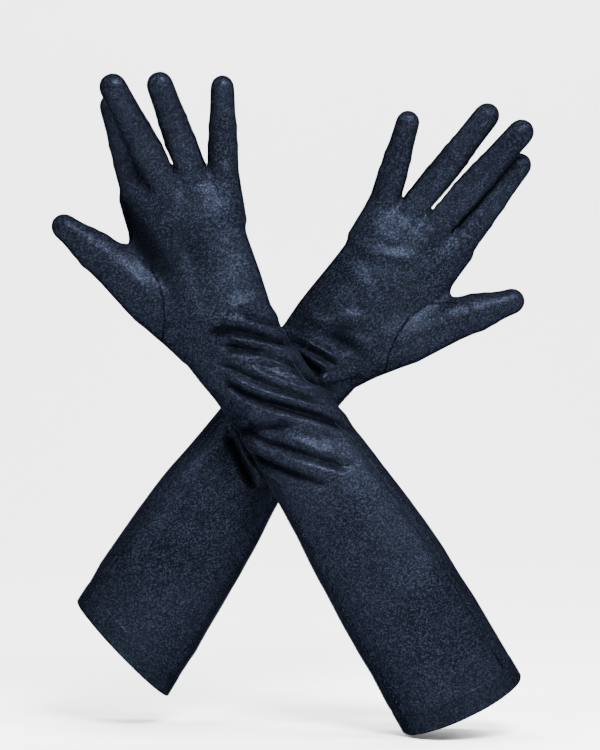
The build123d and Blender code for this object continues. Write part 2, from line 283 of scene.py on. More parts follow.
class Glove:
    """One glove: its own axes (to the thumb, to the back of the hand, along the arm) and its tubes."""

    def __init__(self, name):
        self.name = name
        mount = mounts[f"{name}_arm_opening"]
        self.origin = np.array(mount["pos_m"], float)
        out = -unit(mount["axis"])
        back = np.array([0.0, 1.0, 0.0])
        side = np.cross(out, back)
        wrist, thumb = (np.array(joints[f"{name}_{part}_bend"]["pos_m"]) for part in ("wrist", "thumb"))
        if side @ thumb < side @ wrist:
            side = -side
        self.axes = np.array([side, back, out])
        self.wrist = self.joint_place("wrist")
        self.hand_side, self.hand_out = self.bend_directions("middle")
        self.knuckles = {f: self.joint_place(f) for f in FINGERS}
        self.thumb_joint = self.joint_place("thumb")
        self.thumb_side, self.thumb_out = self.bend_directions("thumb")
        self.knuckle_height = (self.knuckles["middle"] - self.wrist) @ self.hand_out
        self.find_hem_plane()
        self.arm_tube()
        self.digits = {f: self.finger_tube(f) for f in FINGERS}
        self.digits["thumb"] = self.thumb_tube()

    def local(self, p):
        return (np.asarray(p, float) - self.origin) @ self.axes.T

    def world(self, p):
        return np.asarray(p, float) @ self.axes + self.origin

    def node(self, part):
        return f"{self.name}_{part}"

    def joint_place(self, part):
        return self.local(joints[f"{self.name}_{part}_bend"]["pos_m"])

    def bend_directions(self, part):
        """The axis that a part bends about, pointing towards the thumb, and the way that the part points."""
        axis = self.axes @ np.array(joints[f"{self.name}_{part}_bend"]["axis"], float)
        side = axis * np.sign(axis[0])
        return side, np.array([-side[2], 0, side[0]])

    def edges(self, *parts):
        return node_edges([self.node(p) for p in parts], self.local)

    def hand_point(self, side, back, out):
        """A point in the hand's own directions, measured from the wrist joint."""
        return self.wrist + self.hand_side * side + self.hand_out * out + np.array([0, back, 0])

    def section(self, edges, point, way, wide):
        """Middle, half width and half depth of the cut through some nodes."""
        hits = cut(edges, point, way) - point
        x = hits @ wide
        deep = np.cross(way, wide)
        deep = deep * np.sign(deep[1])
        y = hits @ deep
        middle = point + wide * (x.max() + x.min()) / 2 + deep * (y.max() + y.min()) / 2
        return middle, (x.max() - x.min()) / 2, (y.max() - y.min()) / 2

    def above_hem(self, points):
        """Height above the plane of the opening, along the arm."""
        fit = self.hem_plane
        return points[:, 2] - points[:, 0] * fit[0] - points[:, 1] * fit[1] - fit[2]

    def seam_angle(self, place):
        """Where the seam on the little finger's side lies: in front on the sleeve, at the edge on the hand."""
        return OUTER_SEAM - (OUTER_SEAM - 180) * smooth((place - self.wrist_place + 0.045) / 0.05)

    def find_hem_plane(self):
        """Fits a plane through the lowest points of the hem, one for each direction around it."""
        hem = self.edges("cuff_hem")[0]
        angle = np.arctan2(hem[:, 1], hem[:, 0])
        directions = 16
        lowest = []
        for k in range(directions):
            near = np.abs(np.angle(np.exp(1j * (angle - 2 * np.pi * k / directions)))) < np.pi / 12
            part = hem[near]
            lowest.append(part[part[:, 2].argmin()])
        lowest = np.array(lowest)
        across = np.c_[lowest[:, :2], np.ones(directions)]
        self.hem_plane = np.linalg.lstsq(across, lowest[:, 2], rcond=None)[0]

    def hand_section(self, edges, height):
        """The section of the hand at a height above the wrist."""
        return self.section(edges, self.hand_point(0, 0, height), self.hand_out, self.hand_side)

    def arm_tube(self):
        """One tube for the sleeve and the palm, read from the CAD sections."""
        edges = self.edges("sleeve_palm_panel", "sleeve_back_panel", "cuff_hem")
        tube = Tube()
        side, out = np.array([1.0, 0, 0]), np.array([0, 0, 1.0])
        stations = SLEEVE_SECTIONS * self.wrist[2]
        sections = [self.section(edges, np.array([0, 0, s]), out, side) for s in stations]
        # the sleeve goes on below its opening, with little of its flare
        (m0, a0, b0), (m1, a1, _) = sections[0], sections[1]
        t = (-BELOW_OPENING - stations[0]) / (stations[1] - stations[0]) * FLARE_BELOW
        start = m0 + (m1 - m0) * t
        start[2] = -BELOW_OPENING
        tube.add(start, out, side, a0 - (a1 - a0) * FLARE_BELOW, b0)
        for middle, a, b in sections:
            tube.add(middle, out, side, a, b)
        hand = self.edges("hand_palm_panel", "hand_back_panel")
        heights = HAND_SECTIONS * self.knuckle_height
        # one section at the wrist, between the last of the sleeve and the first of the hand
        middle_low, a_low, b_low = sections[-1]
        middle_high, a_high, b_high = self.hand_section(hand, heights[0])
        middle = (middle_low + middle_high) / 2
        mean_side = unit(side + self.hand_side)
        tube.add(middle, unit(out + self.hand_out), mean_side, (a_low + a_high) / 2, (b_low + b_high) / 2)
        for h in heights:
            middle, a, b = self.hand_section(hand, h)
            full = ROUND + 0.7 * (h / self.knuckle_height)
            tube.add(middle, self.hand_out, self.hand_side, a, b, full)
        for share, wide, deep in KNUCKLE_TAPER:
            middle_here = middle + self.hand_out * (share * self.knuckle_height - h)
            tube.add(middle_here, self.hand_out, self.hand_side, a * wide, b * deep, PALM_CORNERS)
        self.arm = tube.finish()
        self.wrist_place = self.arm.measure(self.wrist[None])[1][0]

    def march(self, edges, start, way, wide, step):
        """Follows a closed-ended tube from its base and reads its sections."""
        tube = Tube()
        point = start
        for _ in range(MOST_SECTIONS):
            hits = cut(edges, point, way)
            if len(hits) < LEAST_HITS:
                break
            middle, a, b = self.section(edges, point, way, wide)
            if tube.middle and a < tube.size[0][0] * TIP_NARROWING:
                break
            if tube.middle:
                way = unit(0.5 * way + 0.5 * unit(middle - tube.middle[-1]))
                wide = unit(wide - way * (wide @ way))
            tube.add(middle, way, wide, a + PLUMP, b + PLUMP / 2, FINGER_CORNERS)
            point = middle + way * step
        # one more section, so that the rounded end reaches as far as the rigid one
        middle, way, (a, b) = tube.middle[-1], tube.way[-1], tube.size[-1]
        tip = edges[0][((edges[0] - tube.middle[0]) @ way).argmax()]
        reach = (tip - middle) @ way - a * TIP_LENGTH
        tube.add(middle + way * max(0.0004, reach), way, tube.wide[-1], a * 0.985, b * 0.985)
        return tube.finish()

    def finger_tube(self, finger):
        parts = [n[len(self.name) + 1 :] for n in record["behaviour"]["bodies"][self.node(finger)]]
        edges = self.edges(*parts)
        base = self.knuckles[finger] + np.array([0, FINGER_BACK, 0]) + self.hand_out * BASE_ABOVE
        tip = edges[0][np.linalg.norm(edges[0] - base, axis=1).argmax()]
        way = unit(0.6 * self.hand_out + 0.4 * unit(tip - base))
        wide = unit(self.hand_side - way * (self.hand_side @ way))
        rigid = self.march(edges, base, way, wide, FINGER_STEP)
        first = rigid.size[0]
        tube = Tube()
        for below, wide, deep in FINGER_ROOT:
            root = rigid.middle[0] - self.hand_out * below + np.array([0, 0.001, 0])
            tube.add(root, self.hand_out, self.hand_side, first[0] * wide, first[1] * deep)
        slack = TIP_SLACK[self.name][finger]
        for i in range(len(rigid.middle)):
            share = rigid.along[i] / rigid.along[-1]
            root_share = 1 - smooth(i / ROOT_SECTIONS)
            fullness = ROOT_FULLNESS + (TIP_FULLNESS - ROOT_FULLNESS) * smooth(share * 1.1)
            a, b = rigid.size[i]
            here = rigid.middle[i] - rigid.way[i] * slack * share
            deep = b + ROOT_DEPTH * root_share
            tube.add(here, rigid.way[i], rigid.wide[i], a * fullness, deep, FINGER_CORNERS)
        return tube.finish()

    def thumb_tube(self):
        """The thumb with its mound, which runs from the heel of the hand up to the thumb's joint."""
        edges = self.edges("thumb_front", "thumb_back")
        base = self.thumb_joint + np.array([0, THUMB_BACK, 0]) + self.thumb_out * BASE_ABOVE
        rigid = self.march(edges, base, self.thumb_out, self.thumb_side, THUMB_STEP)
        tube = Tube()
        heel, top = self.hand_point(*MOUND_HEEL), self.hand_point(*MOUND_TOP)
        way = unit(top - heel)
        points = (heel, heel + (top - heel) * 0.5, top)
        for point, turn, size in zip(points, (0, 0, self.thumb_out), MOUND_SIZES):
            tube.add(point, way + turn, self.thumb_side, *size)
        a, b = rigid.size[0]
        root = rigid.middle[0] - self.thumb_out * 0.010
        tube.add(root, self.thumb_out, self.thumb_side, a + 0.0002, b + 0.0004)
        count = len(rigid.middle)
        for i in range(count):
            slim = 1 - THUMB_SLIMMING * smooth(i / count)
            a, b = rigid.size[i] * slim - PLUMP * np.array([1, 0.5])
            tube.add(rigid.middle[i], rigid.way[i], rigid.wide[i], a, b)
        return tube.finish()


def soft_min(a, b, k):
    """The smaller of two distances, rounded where they are nearly equal."""
    h = np.clip(0.5 + 0.5 * (b - a) / k, 0, 1)
    return b * (1 - h) + a * h - k * h * (1 - h)


def tube_grid(tube, low, shape, cap):
    """Signed distances to one tube, on the part of the grid around it."""
    reach = tube.size.max() * 1.2 + BAND
    a = np.maximum(((tube.middle.min(0) - reach - low) / VOXEL).astype(int), 0)
    b = np.minimum(((tube.middle.max(0) + reach - low) / VOXEL).astype(int) + 1, shape)
    axes = [low[i] + VOXEL * np.arange(a[i], b[i]) for i in range(3)]
    points = np.stack(np.meshgrid(*axes, indexing="ij"), -1).reshape(-1, 3)
    result = np.full(len(points), FAR)
    near = np.zeros(len(points), bool)
    steps = np.linalg.norm(np.diff(tube.middle, axis=0), axis=1).max() / 2
    for m, size in zip(tube.middle, tube.size):
        rest = np.nonzero(~near)[0]
        off = points[rest] - m
        near[rest] = (off * off).sum(1) < (size.max() * 1.15 + BAND + steps) ** 2
    result[near] = tube.measure(points[near], cap=cap)[0]
    slices = tuple(slice(a[i], b[i]) for i in range(3))
    return slices, result.reshape([b[i] - a[i] for i in range(3)])


def skin(glove):
    """The whole outer skin of a glove as vertices and triangles, in its own axes."""
    tubes = [glove.arm] + list(glove.digits.values())
    low = np.min([t.middle.min(0) - t.size.max() - MARGIN_LOW for t in tubes], axis=0)
    high = np.max([t.middle.max(0) + t.size.max() + MARGIN_HIGH for t in tubes], axis=0)
    shape = np.ceil((high - low) / VOXEL).astype(int)
    field = np.full(shape, FAR)
    where, part = tube_grid(glove.arm, low, shape, cap=False)
    field[where] = part
    where, part = tube_grid(glove.digits["thumb"], low, shape, cap=True)
    field[where] = soft_min(field[where], part, MOUND_BLEND)
    x = (low[0] + VOXEL * np.arange(shape[0]) - glove.wrist[0])[:, None, None]
    z = (low[2] + VOXEL * np.arange(shape[2]) - glove.wrist[2])[None, None, :]
    above = x * glove.hand_out[0] + z * glove.hand_out[2] - glove.knuckle_height
    above = np.broadcast_to(above, shape)
    parts = {f: tube_grid(glove.digits[f], low, shape, cap=True) for f in FINGERS}
    # the two nearest fingers, so that each can be kept on its own side of the gap
    nearest = np.full(shape, FAR)
    second = np.full(shape, FAR)
    for where, part in parts.values():
        old = nearest[where]
        second[where] = np.minimum(second[where], np.maximum(old, part))
        nearest[where] = np.minimum(old, part)
    apart = smooth((above - WEB_HEIGHT) / WEB_RISE)
    gap = FINGER_GAP * apart - NO_GAP * (1 - apart)
    trimmed = np.maximum(nearest, (nearest - second + gap) / 2)
    joined = np.full(shape, FAR)
    for where, part in parts.values():
        k = WEB_CREASE + WEB_BLEND * (1 - smooth((above[where] - WEB_HEIGHT + 0.002) / WEB_RISE))
        joined[where] = soft_min(joined[where], part, k)
    fingers = joined * (1 - apart) + trimmed * apart
    k = PALM_CREASE + PALM_BLEND * (1 - smooth((above - 0.006) / 0.010))
    near = (fingers < NEAR_BOTH) & (field < NEAR_BOTH)
    whole = np.minimum(field, fingers)
    whole[near] = soft_min(field[near], fingers[near], k[near])
    grid = openvdb.FloatGrid(FAR)
    grid.copyFromArray(whole.astype(np.float32))
    points, quads = grid.convertToQuads(0.0)
    points = points.astype(float) * VOXEL + low
    quads = quads.astype(int)
    triangles = np.concatenate([quads[:, [0, 1, 2]], quads[:, [0, 2, 3]]])
    return points, triangles


def neighbour_mean(values, triangles):
    """The mean of each vertex's neighbours."""
    total = np.zeros_like(values)
    count = np.zeros(len(values))
    for a, b in ((0, 1), (1, 2), (2, 0)):
        for p, q in ((a, b), (b, a)):
            for k in range(values.shape[1]):
                total[:, k] += np.bincount(triangles[:, p], values[triangles[:, q], k], len(values))
            count += np.bincount(triangles[:, p], minlength=len(values))
    return total / np.maximum(count, 1)[:, None]


def relax(points, triangles, rounds):
    """Smooths the skin without shrinking it."""
    for _ in range(rounds):
        for share in RELAX_STEPS:
            points = points + share * (neighbour_mean(points, triangles) - points)
    return points


def vertex_normals(points, triangles):
    a, b, c = (points[triangles[:, k]] for k in range(3))
    face = np.cross(b - a, c - a)
    total = np.zeros_like(points)
    for k in range(3):
        for axis in range(3):
            total[:, axis] += np.bincount(triangles[:, k], face[:, axis], len(points))
    return total / np.maximum(np.linalg.norm(total, axis=1), 1e-12)[:, None]


# ---- folds and creases

# A fold: the points that its curve runs through as (along, across) in millimetres, its height in millimetres
# (below zero for a groove) and its half width in millimetres. Sleeve folds are measured from the opening and
# towards the thumb; hand folds from the wrist joint.
SLEEVE_FOLDS = {
    "left": [
        ([(278, -9), (265, -20), (255, -31)], -2.2, 2.6),
        ([(273, 17), (272, 3), (257, -14), (242, -32)], -3.2, 3.2),
        ([(269, 16), (249, -9), (222, -30)], -3.2, 2.8),
        ([(249, 3), (232, -17), (209, -33)], -2.7, 2.6),
        ([(243, -1), (230, -12), (217, -23)], -1.8, 2.4),
        ([(264, 22), (231, -1), (200, -30)], -2.7, 2.6),
        ([(254, 23), (228, 11), (205, -12), (174, -36)], -3.8, 2.8),
        ([(218, 28), (208, 13), (204, -4)], -2.7, 3.4),
        ([(222, 36), (191, 9), (158, -22)], -2.7, 2.6),
        ([(204, 35), (180, 18), (156, -5)], -2.7, 2.8),
        ([(269, 6), (261, -3), (250, -15)], 1.0, 2.4),
        ([(211, 8), (199, -9), (182, -21)], 0.9, 3.6),
        ([(203, 27), (189, 15), (172, 3)], 1.0, 3.6),
        ([(130, 36), (94, 12), (70, -18)], 0.5, 8.0),
        ([(92, -36), (70, -20), (52, 4)], 0.5, 8.0),
    ],
    "right": [
        ([(226, -34), (229, -8), (230, 20)], 2.2, 2.6),
        ([(226, -22), (225, -4), (227, 14)], -2.2, 2.6),
        ([(223, -20), (222, 0), (226, 18)], 1.6, 2.6),
        ([(220, -16), (217, -2), (216, 10)], -3.5, 3.2),
        ([(212, 4), (221, 18), (236, 27)], 1.6, 3.0),
        ([(241, -20), (251, -4), (263, 12)], 1.2, 3.2),
        ([(155, -24), (144, -5), (134, 14)], -3.2, 2.8),
        ([(162, -21), (154, -8), (145, 9)], -1.9, 2.8),
        ([(192, -34), (178, -16), (172, 8)], 1.1, 5.2),
        ([(112, 38), (86, 8), (74, -28)], 0.5, 8.0),
        ([(66, -38), (48, -16), (38, 10)], 0.5, 8.0),
    ],
}
HAND_FOLDS = {
    "left": [
        ([(104, -21), (101, -13), (103, -5)], 0.9, 2.6),
        ([(100, -30), (97, -20), (98, -10)], 0.6, 3.0),
        ([(104, 2), (102, 10), (104, 18)], 0.5, 2.8),
        ([(76, -24), (73, 3), (84, 28)], 0.35, 4.0),
        ([(60, 12), (34, 17), (6, 10)], 0.7, 4.5),
        ([(12, -28), (16, -8), (10, 14), (14, 28)], 1.1, 3.6),
        ([(58, 42), (48, 47), (38, 52)], 0.6, 2.8),
    ],
    "right": [
        ([(63, -24), (67, -5), (80, 18)], 0.9, 3.4),
        ([(103, -17), (101, -9), (103, -2)], 0.5, 2.6),
        ([(106, 2), (104, 11), (106, 20)], 0.5, 2.8),
        ([(104, 22), (102, 30), (104, 37)], 0.4, 2.8),
        ([(50, -26), (42, 2), (20, 18)], 0.6, 4.5),
        ([(14, -28), (10, -8), (14, 14), (9, 30)], 1.1, 3.8),
        ([(77, 44), (66, 51), (54, 58)], 1.0, 2.8),
    ],
}
FOLD_STEPS = 8            # straight steps that a fold's curve is followed in
# Hollows: (along, across), depth in millimetres, half length, half width.
HOLLOWS = {
    "left": [((221, 26), 1.6, 9, 7), ((352, 22), 2.6, 42, 10), ((330, -2), 1.2, 26, 12)],
    "right": [((244, 8), 3.4, 8, 18), ((216, -14), 2.4, 6, 12), ((209, 14), 1.2, 6, 10)],
}
# Little creases across each finger and the thumb, as shares of its length, with their height in millimetres.
FINGER_CREASES = ((0.30, 0.55), (0.36, 0.4), (0.52, 0.3), (0.66, 0.45), (0.71, 0.3))
THUMB_CREASES = ((0.74, 0.3), (0.80, 0.2))
FOLD_FADE = 0.2           # share of a fold's path over which it fades in, and out again
FOLD_RIM = 0.30           # the cloth beside a fold moves the other way by this share of its height
# Shallow waves of cloth that is nowhere quite smooth: length and height.
WAVES = ((0.060, 0.00022), (0.030, 0.00010), (0.016, 0.00005))
WAVES_OF_A_LENGTH = 5
BACK_FOLDS = 0.7          # the sleeve's folds are this high on the back
BACK_HAND_FOLDS = 0.35    # and the hand's folds this high,
BACK_HAND_SHIFT = 0.012   # and this much nearer to the wrist
HEM_CALM = 0.25           # the hem shows this share of the relief
MOST_DEPTH, MOST_HEIGHT = 0.0035, 0.003    # how far the cloth may lie in or stand out


def fold_curve(points):
    """The one smooth curve through three or four points, in metres."""
    points = np.array(points, float) / 1000
    at_points = np.linspace(0, 1, len(points))
    at_steps = np.linspace(0, 1, FOLD_STEPS + 1)
    curve = [np.polyval(np.polyfit(at_points, axis, len(points) - 1), at_steps) for axis in points.T]
    return np.stack(curve, -1)


def fold_relief(flat, folds):
    """Height of the cloth above the smooth shape, in metres, from a list of folds."""
    height = np.zeros(len(flat))
    for points, rise, width in folds:
        path = fold_curve(points)
        width = width / 1000
        best = np.full(len(flat), FAR)
        share = np.zeros(len(flat))
        count = len(path) - 1
        for i in range(count):
            way = path[i + 1] - path[i]
            off = flat - path[i]
            t = np.clip(off @ way / (way @ way), 0, 1)
            away = off - t[:, None] * way
            d = np.hypot(away[:, 0], away[:, 1])
            take = d < best
            best = np.where(take, d, best)
            share = np.where(take, (i + t) / count, share)
        fade = smooth(share / FOLD_FADE) * smooth((1 - share) / FOLD_FADE)
        ridge = bump(best, width) - FOLD_RIM * bump(best - 2.0 * width, 1.1 * width)
        height += rise / 1000 * fade * ridge
    return height


def hollow_relief(flat, hollows):
    height = np.zeros(len(flat))
    for (along, across), depth, long, wide in hollows:
        x = (flat[:, 0] * 1000 - along) / long
        y = (flat[:, 1] * 1000 - across) / wide
        height -= depth / 1000 * np.exp(-(x * x) - y * y)
    return height


def crease_shape(x, ridge, apart, groove):
    """A small ridge with a shallower groove beside it."""
    return bump(x, ridge) - 0.6 * bump(x - apart, groove)


def unevenness(glove, points):
    """The waves of cloth that is nowhere quite smooth."""
    random = np.random.RandomState(SEED[glove.name])
    height = np.zeros(len(points))
    for length, rise in WAVES:
        for _ in range(WAVES_OF_A_LENGTH):
            way = unit(random.normal(size=3)) * 2 * np.pi / length * random.uniform(0.7, 1.4)
            height += rise * 0.5 * np.sin(points @ way + random.uniform(0, 2 * np.pi))
    return height


def relief(glove, points, palm):
    """How far the cloth stands out at each point of the sleeve and hand; palm is 1 on the palm side."""
    mirror = points * np.array([-1, 1, 1])
    flat = points[:, [2, 0]]
    flat_back = mirror[:, [2, 0]]
    off = points - glove.wrist
    on_hand = np.stack([off @ glove.hand_out, off @ glove.hand_side], -1)
    back_hand = on_hand * np.array([1, -1]) + np.array([BACK_HAND_SHIFT, 0])
    name = glove.name
    front = fold_relief(flat, SLEEVE_FOLDS[name]) + hollow_relief(flat, HOLLOWS[name])
    front += fold_relief(on_hand, HAND_FOLDS[name])
    back = BACK_FOLDS * fold_relief(flat_back, SLEEVE_FOLDS[name])
    back += BACK_HAND_FOLDS * fold_relief(back_hand, HAND_FOLDS[name])
    away_from_hem = smooth((glove.above_hem(points) - 0.012) / 0.02)
    return (front * palm + back * (1 - palm)) * (HEM_CALM + (1 - HEM_CALM) * away_from_hem)


def palm_share(angle):
    """1 where the cloth faces the palm side, 0 at the back, soft between."""
    return smooth((-np.sin(np.radians(angle)) + 0.25) / 0.5)


def tube_relief(glove, points, angle):
    """How far the cloth stands out at points on the sleeve's tube."""
    return relief(glove, points, palm_share(angle)) + unevenness(glove, points)


# ---- cutting the skin into pieces


def cut_along(data, triangles, level):
    """Splits triangles along the line where column `level` of the vertex data is zero."""
    f = data[:, level]
    f[np.abs(f) < 2e-6] = 0
    sign = np.sign(f)
    corner = sign[triangles]
    crossing = (corner.min(1) < 0) & (corner.max(1) > 0)
    keep = triangles[~crossing]
    work = triangles[crossing]
    if len(work) == 0:
        return data, triangles
    edges = np.concatenate([work[:, [0, 1]], work[:, [1, 2]], work[:, [2, 0]]])
    split = sign[edges[:, 0]] * sign[edges[:, 1]] < 0
    edges = np.unique(np.sort(edges[split], axis=1), axis=0)
    key = edges[:, 0] * len(data) + edges[:, 1]
    t = f[edges[:, 0]] / (f[edges[:, 0]] - f[edges[:, 1]])
    added = data[edges[:, 0]] * (1 - t[:, None]) + data[edges[:, 1]] * t[:, None]
    added[:, level] = 0
    first_new = len(data)

    def middle(a, b):
        return first_new + np.searchsorted(key, np.minimum(a, b) * first_new + np.maximum(a, b))

    corner = sign[work]
    touches = (corner == 0).any(1)
    turn = np.where(touches, np.argmax(corner == 0, axis=1), 0)
    alone = np.argmax(corner * corner.sum(1)[:, None] < 0, axis=1)
    turn = np.where(touches, turn, alone)
    rows = np.arange(len(work))
    a, b, c = (work[rows, (turn + k) % 3] for k in range(3))
    pieces = [keep]
    m = touches
    mid = middle(b[m], c[m])
    pieces += [np.stack([a[m], b[m], mid], 1), np.stack([a[m], mid, c[m]], 1)]
    m = ~touches
    ab, ac = middle(a[m], b[m]), middle(a[m], c[m])
    pieces += [np.stack([a[m], ab, ac], 1), np.stack([ab, b[m], c[m]], 1), np.stack([ab, c[m], ac], 1)]
    return np.concatenate([data, added]), np.concatenate(pieces)


def two_sides(data, triangles, level):
    """Cuts, and gives the data and the triangles where the column is positive and where it is negative."""
    data, triangles = cut_along(data, triangles, level)
    value = data[:, level][triangles]
    positive = value.sum(1) > 0
    return data, triangles[positive], triangles[~positive]


POINT, NORMAL = slice(0, 3), slice(3, 6)
HEM, FINGER, THUMB, GUSSET, PALM, STRIP_A, STRIP_B, BACK, SEAM = range(6, 15)
BETWEEN = (15, 16, 17)    # between index and middle, middle and ring, ring and little
# how deep the cloth lies in a fold, 0 to 1; the material paints shade into the folds from it
DEPTH = 18
COLUMNS = 19
THUMB_OWN = 0.004         # skin this near to the thumb's tube can be the thumb's
THUMB_NEAR = 0.006        # and skin this near to it is never a finger's
GUSSET_HEEL = -0.004      # height above the wrist where the gusset's seam ends
SLEEVE_RADIUS, FINGER_RADIUS, THUMB_RADIUS = 0.033, 0.008, 0.011    # turn angles into lengths on the skin
FORK_TOP = 0.88           # a side strip ends soon after this share of its finger
FULL_SHADE = 0.003        # a fold this deep gets the full painted shade
# the thumb gusset's seam on the hand: heights above the wrist and how far towards the thumb, in metres
GUSSET_HEIGHTS = (-0.010, 0.006, 0.018, 0.032, 0.046, 0.058, 0.066, 0.080)
GUSSET_SIDES = (0.060, 0.0400, 0.0345, 0.0318, 0.0322, 0.0370, 0.0450, 0.070)


def wrap(angle):
    return (angle + 180) % 360 - 180


class Skin:
    """Where the vertices of a glove's skin lie on its tubes, and the fields worked out from that."""

    def __init__(self, glove, points):
        self.glove = glove
        _, self.place, self.angle = glove.arm.measure(points)
        found = [digit.measure(points, cap=True) for digit in glove.digits.values()]
        self.fingers = np.array([f[0] for f in found[: len(FINGERS)]])
        self.which = self.fingers.argmin(0)
        rows = np.arange(len(points))
        finger_place = np.array([f[1] for f in found])[self.which, rows]
        self.finger_angle = np.array([f[2] for f in found])[self.which, rows]
        lengths = np.array([digit.along[-1] + digit.size[-1][0] for digit in glove.digits.values()])
        self.finger_length = lengths[self.which]
        self.share = finger_place / self.finger_length
        self.d_thumb, thumb_place, self.thumb_angle = found[-1]
        self.thumb_length = lengths[-1]
        self.thumb_share = thumb_place / self.thumb_length
        off = points - glove.wrist
        self.height = off @ glove.hand_out
        self.side = off @ glove.hand_side
        beyond_joint = (points - glove.thumb_joint) @ glove.thumb_out - THUMB_CUT
        self.on_thumb = np.minimum(beyond_joint, THUMB_OWN - self.d_thumb)
        on_finger = self.height - glove.knuckle_height - FINGER_CUT
        thumb_near = (self.d_thumb < self.fingers.min(0)) & (self.d_thumb < THUMB_NEAR)
        self.on_finger = np.where(thumb_near, np.minimum(on_finger, -0.003), on_finger)

    def rise(self, points):
        """How far the cloth stands out of the smooth skin."""
        is_thumb = smooth((0.003 - self.d_thumb) / 0.002) * smooth((self.height - 0.03) / 0.01)
        off_fingers = 1 - smooth((self.on_finger + 0.008) / 0.012)
        rise = relief(self.glove, points, palm_share(self.angle)) * off_fingers * (1 - is_thumb)
        is_finger = smooth((self.on_finger + 0.004) / 0.01)
        front = palm_share(self.finger_angle)
        for at, crease in FINGER_CREASES:
            wander = 0.012 * np.sin(self.which * 2.3 + at * 9)
            x = (self.share - at + wander) * self.finger_length
            shape = crease_shape(x, 0.0026, 0.0042, 0.0022)
            rise += crease / 1000 * shape * is_finger * (0.35 + 0.65 * front)
        for at, crease in THUMB_CREASES:
            x = (self.thumb_share - at) * self.thumb_length
            rise += crease / 1000 * crease_shape(x, 0.003, 0.0045, 0.0025) * is_thumb
        rise += unevenness(self.glove, points) * (1 - 0.7 * is_finger)
        return np.clip(rise, -MOST_DEPTH, MOST_HEIGHT)

    def panel_field(self):
        """Above zero on the palm side of the two side seams; about the distance to the nearer one."""
        seam = self.glove.seam_angle(self.place)
        palm_side = np.sin(np.pi * (self.angle - seam) / (360 - seam)) * (360 - seam) / 180
        back_side = -np.sin(np.pi * self.angle / seam) * seam / 180
        return np.where(self.angle > seam, palm_side, back_side) * SLEEVE_RADIUS

    def strip_fields(self):
        """Above zero on a finger's two side strips: the one towards the thumb, then the other."""
        fork = 1 - smooth((self.share - 0.30) / 0.58)
        narrow = 2 - (self.share - FORK_TOP) * 80
        fork = np.where(self.share < FORK_TOP, 2 + (FORK_ANGLE - 2) * fork, narrow)
        arc = np.pi / 180 * FINGER_RADIUS
        thumb_side = (fork - np.abs(wrap(self.finger_angle))) * arc
        little_side = (fork - np.abs(wrap(self.finger_angle - 180))) * arc
        thumb_side = np.where(self.which == 0, -1, thumb_side)
        return thumb_side, np.where(self.which == len(FINGERS) - 1, -1, little_side)

    def seam_distance(self, data):
        """Distance to the nearest seam, for the stitched groove."""
        on_hand = (self.on_finger < 0) & (self.on_thumb < 0)
        above_heel = self.height > GUSSET_HEEL
        gusset = np.where(on_hand & above_heel, np.abs(data[:, GUSSET]), FAR)
        outside_gusset = (data[:, GUSSET] < 0) | (self.height < GUSSET_HEEL)
        side_seams = np.where(on_hand & outside_gusset, np.abs(data[:, PALM]), FAR)
        strips = np.minimum(np.abs(data[:, STRIP_A]), np.abs(data[:, STRIP_B]))
        on_strip = (data[:, STRIP_A] > 0) | (data[:, STRIP_B] > 0)
        front_to_back = np.where(on_strip, FAR, np.abs(data[:, BACK]))
        finger = np.where(self.on_finger > 0, np.minimum(strips, front_to_back), FAR)
        thumb = np.where(self.on_thumb > 0, np.abs(data[:, BACK]), FAR)
        return np.min([gusset, side_seams, finger, thumb], axis=0)


def vertex_data(glove, points, triangles):
    """The skin's vertices with their normals and all the fields that it is cut along."""
    skin_at = Skin(glove, points)
    rise = skin_at.rise(points)
    points = points + vertex_normals(points, triangles) * rise[:, None]
    points = relax(points, triangles, 1)
    data = np.zeros((len(points), COLUMNS))
    data[:, POINT] = points
    data[:, NORMAL] = vertex_normals(points, triangles)
    data[:, HEM] = glove.above_hem(points) - HEM_HEIGHT + HEM_OVERLAP
    data[:, FINGER] = skin_at.on_finger
    data[:, THUMB] = skin_at.on_thumb
    data[:, GUSSET] = skin_at.side - np.interp(skin_at.height, GUSSET_HEIGHTS, GUSSET_SIDES)
    data[:, PALM] = skin_at.panel_field()
    data[:, STRIP_A], data[:, STRIP_B] = skin_at.strip_fields()
    finger_back = np.sin(np.radians(skin_at.finger_angle)) * FINGER_RADIUS
    thumb_back = np.sin(np.radians(skin_at.thumb_angle)) * THUMB_RADIUS
    data[:, BACK] = np.where(skin_at.on_thumb > -0.002, thumb_back, finger_back)
    for i, column in enumerate(BETWEEN):
        nearer = skin_at.fingers[: i + 1].min(0) - skin_at.fingers[i + 1 :].min(0)
        data[:, column] = np.clip(nearer, -0.01, 0.01)
    data[:, SEAM] = skin_at.seam_distance(data)
    # this column sets how much shade is painted into the folds
    data[:, DEPTH] = smooth(-rise / FULL_SHADE)
    return data


